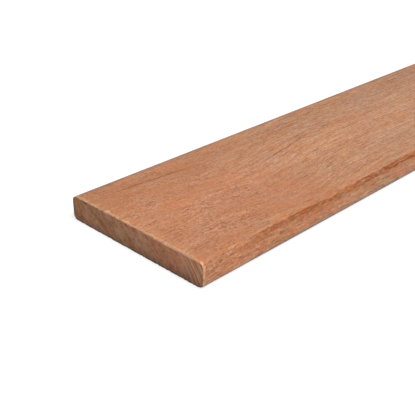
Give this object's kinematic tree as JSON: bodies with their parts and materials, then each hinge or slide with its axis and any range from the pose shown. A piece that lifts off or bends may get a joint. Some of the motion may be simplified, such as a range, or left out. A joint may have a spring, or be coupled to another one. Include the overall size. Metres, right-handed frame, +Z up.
{
  "type": "decking board",
  "caption": "Solid hardwood decking board, planed to a flat rectangular section with rounded long edges and square sawn ends, laid flat over joists as a walking surface.",
  "frame": {"origin": "middle of the underside, half way along the board and half way across it", "axes": "+X along the grain, +Y across the width, +Z up through the thickness to the walking face"},
  "size_m": [1.85, 0.145, 0.021],
  "materials": {
    "hardwood": "matte"
  },
  "bodies": {
    "root": {"decking_board": "hardwood"}
  },
  "joints": []
}
